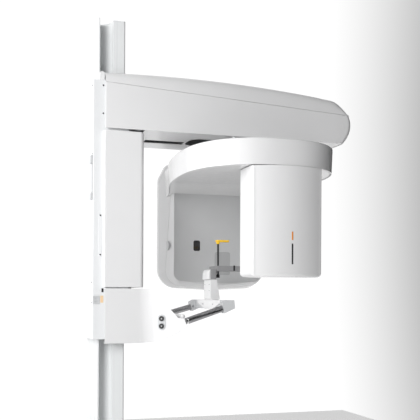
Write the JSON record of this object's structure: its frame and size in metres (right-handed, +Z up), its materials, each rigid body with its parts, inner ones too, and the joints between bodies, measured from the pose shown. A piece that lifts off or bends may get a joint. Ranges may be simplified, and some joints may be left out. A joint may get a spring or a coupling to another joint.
{
  "type": "panoramic xray machine",
  "caption": "Panoramic dental x-ray machine: a lift carriage on a floor column carries an arm with a rotating gantry and a patient bar with chin rest.",
  "frame": {"origin": "on the floor under the column, at the floor plate's underside, in the column's plane of symmetry", "axes": "+Z up the column, +X from the column out along the arm to the patient, +Y to the side of the tubehead"},
  "size_m": [1.1524, 0.776, 2.25],
  "materials": {
    "white_alloy": "white coated extrusion",
    "white_paint": "satin white powder coat",
    "white_shell": "glossy white moulded cover",
    "grey_panel": "matte mid-grey moulding",
    "window_grey": "matte dark grey window",
    "dark_lens": "dark tinted plastic",
    "light_grey": "satin light grey plastic",
    "black_plastic": "matte black plastic",
    "bite_yellow": "yellow medical plastic",
    "tube_steel": "brushed stainless steel",
    "steel": "machined steel",
    "black_steel": "black painted steel",
    "zinc_steel": "zinc-plated sheet steel",
    "alloy": "cast aluminium",
    "belt_rubber": "black toothed belt",
    "pad_plastic": "acetal glide pad"
  },
  "bodies": {
    "column": {"base_plate": "black_steel", "foot_bolts": "zinc_steel", "column_profile": "white_alloy", "column_cap": "white_alloy", "lift_actuator": "alloy", "lift_motor": "black_steel"},
    "carriage": {"carriage_channel": "white_paint", "carriage_frame": "zinc_steel", "lift_rod": "steel", "carriage_pads": "pad_plastic", "top_guards": "light_grey", "service_hatch": "white_paint", "connector_plate": "light_grey", "cable_clamp": "light_grey", "cable_cover": "light_grey", "cover_screws": "zinc_steel", "column_cover": "white_shell", "upper_arm_shell": "white_shell", "upper_arm_top": "white_shell", "arm_underside": "white_shell", "arm_frame": "zinc_steel", "stage_rods": "steel", "lower_arm_shell": "white_shell", "button_plate": "light_grey", "grip_tube_near": "tube_steel", "grip_tube_far": "tube_steel", "crossbar": "light_grey", "crossbar_cover": "white_shell", "chin_post": "light_grey", "chin_bracket": "grey_panel", "chin_bracket_cap": "white_shell", "chin_tray": "grey_panel", "tray_clip": "black_plastic"},
    "stage": {"stage_plate": "alloy", "rotation_bearing": "steel", "rotation_motor": "black_steel", "drive_belt": "belt_rubber"},
    "pulley": {"motor_pulley": "alloy"},
    "gantry": {"hub_shaft": "steel", "ring_shell": "white_shell", "ring_underside": "white_shell", "gantry_frame": "zinc_steel", "tubehead_rear_shell": "white_shell", "tubehead_bezel": "white_shell", "tubehead_cap": "white_shell", "tubehead_panel": "grey_panel", "collimator_window": "window_grey", "laser_window": "dark_lens", "xray_tube_housing": "alloy", "collimator": "alloy", "hv_generator": "alloy", "sensor_outer_shell": "white_shell", "sensor_inner_shell": "white_shell", "detector_panel": "black_steel"},
    "laser_adjuster": {"laser_wheel": "light_grey"},
    "up_key": {"up_button": "black_plastic"},
    "down_key": {"down_button": "black_plastic"},
    "bite_support": {"bite_rod": "black_plastic"},
    "bite_block": {"bite_piece": "bite_yellow"}
  },
  "joints": [
    {"name": "carriage_lift", "type": "slide", "parent": "column", "child": "carriage", "axis": [0, 0, 1], "range_m": [-0.6, 0.19]},
    {"name": "stage_travel", "type": "slide", "parent": "carriage", "child": "stage", "axis": [1, 0, 0], "range_m": [-0.01, 0.02]},
    {"name": "gantry_rotation", "type": "hinge", "parent": "stage", "child": "gantry", "pos_m": [0.53, 0, 1.76], "axis": [0, 0, 1], "range_deg": [-210, 15]},
    {"name": "motor_turn", "type": "hinge", "parent": "stage", "child": "pulley", "pos_m": [0.655, 0, 1.843], "axis": [0, 0, 1], "range_deg": [-985, 75]},
    {"name": "laser_adjust", "type": "hinge", "parent": "gantry", "child": "laser_adjuster", "pos_m": [0.312, 0.2, 1.428], "axis": [1, 0, 0], "range_deg": [-40, 40]},
    {"name": "up_key_travel", "type": "slide", "parent": "carriage", "child": "up_key", "axis": [0.4573, 0.8893, 0], "range_m": [0, 0.0018], "stiffness_N_per_m": 400},
    {"name": "down_key_travel", "type": "slide", "parent": "carriage", "child": "down_key", "axis": [0.4573, 0.8893, 0], "range_m": [0, 0.0018], "stiffness_N_per_m": 400},
    {"name": "bite_support_lift", "type": "slide", "parent": "carriage", "child": "bite_support", "axis": [0, 0, 1], "range_m": [0, 0.012]},
    {"name": "bite_block_lift", "type": "slide", "parent": "bite_support", "child": "bite_block", "axis": [0, 0, 1], "range_m": [0, 0.04]}
  ],
  "couplings": [
    {"joint": "motor_turn", "follows": "gantry_rotation", "ratio": 4.6667}
  ]
}
